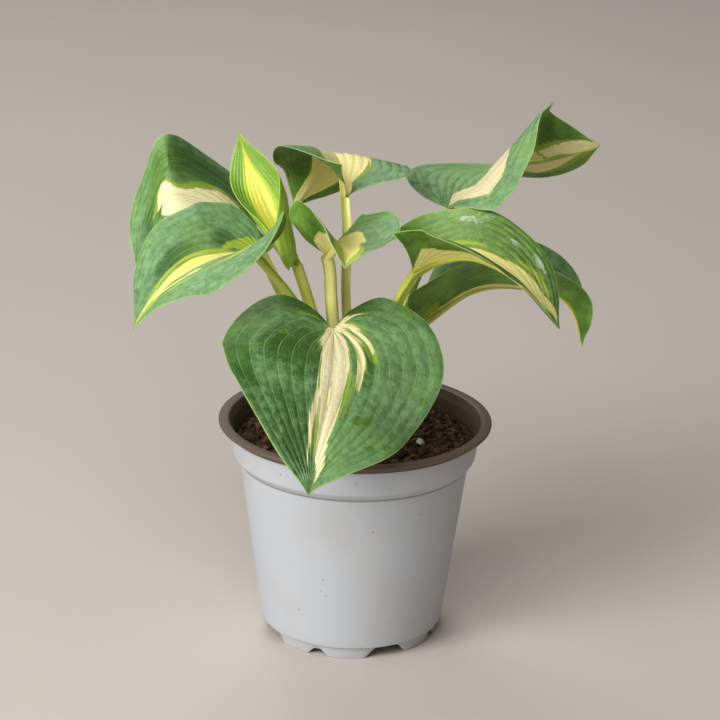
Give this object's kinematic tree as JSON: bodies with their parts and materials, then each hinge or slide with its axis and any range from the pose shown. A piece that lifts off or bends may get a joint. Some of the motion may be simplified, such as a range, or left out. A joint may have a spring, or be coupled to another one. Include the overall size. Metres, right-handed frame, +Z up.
{
  "type": "potted hosta plant",
  "caption": "Variegated hosta with broad heart-shaped leaves on channelled stalks, standing in the soil of a round, stepped plastic nursery pot with a flat rim and notched feet.",
  "frame": {"origin": "centre of the pot's base, on the surface that it stands on", "axes": "+Z up along the pot's axis, -Y towards the plant's front, +X to its right seen from the front"},
  "size_m": [0.228, 0.1949, 0.247],
  "materials": {
    "pot": "matte pale blue-grey outside, taupe rim and inside",
    "soil": "damp, crumbly peat and coir mix",
    "leaf": "satin blue-green with a cream, streaked centre",
    "young_leaf": "satin bright yellow-green with a yellow centre"
  },
  "bodies": {
    "root": {"pot": "pot", "soil": "soil", "leaf_front": "leaf", "leaf_centre": "leaf", "leaf_back": "leaf", "leaf_young": "young_leaf", "leaf_left_front": "leaf", "leaf_left_back": "leaf", "leaf_top_right": "leaf", "leaf_right_front": "leaf", "leaf_right_back": "leaf"}
  },
  "joints": []
}
